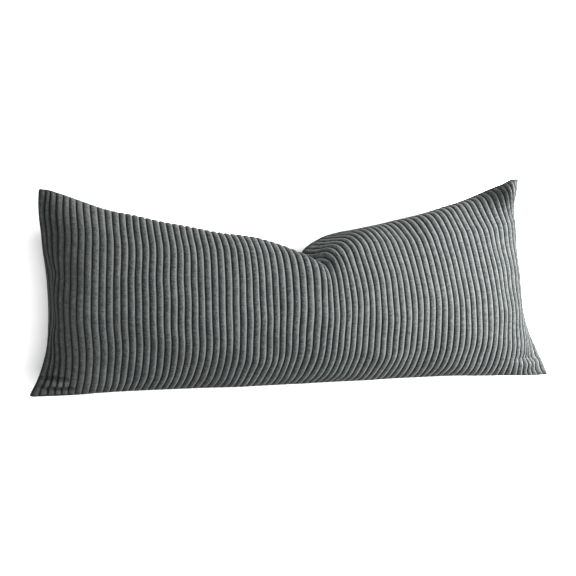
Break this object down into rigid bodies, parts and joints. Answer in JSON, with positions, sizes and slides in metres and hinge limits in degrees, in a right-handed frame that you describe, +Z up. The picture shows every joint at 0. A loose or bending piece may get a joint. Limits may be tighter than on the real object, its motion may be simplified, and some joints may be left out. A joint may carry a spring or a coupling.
{
  "type": "lumbar pillow",
  "caption": "Long filled pillow in wide-wale corduroy with knife-edge seams, pointed corners and a chopped dent in its top edge, lying on its back.",
  "frame": {"origin": "centre of the pillow's outline on the surface that it lies on", "axes": "+X along the pillow to its right end, +Y from the straight bottom edge to the dented top edge, +Z up out of its face"},
  "size_m": [0.9144, 0.341, 0.1755],
  "materials": {
    "corduroy": "matt wide-wale corduroy pile, dark slate grey"
  },
  "bodies": {
    "root": {"pillow": "corduroy"}
  },
  "joints": []
}
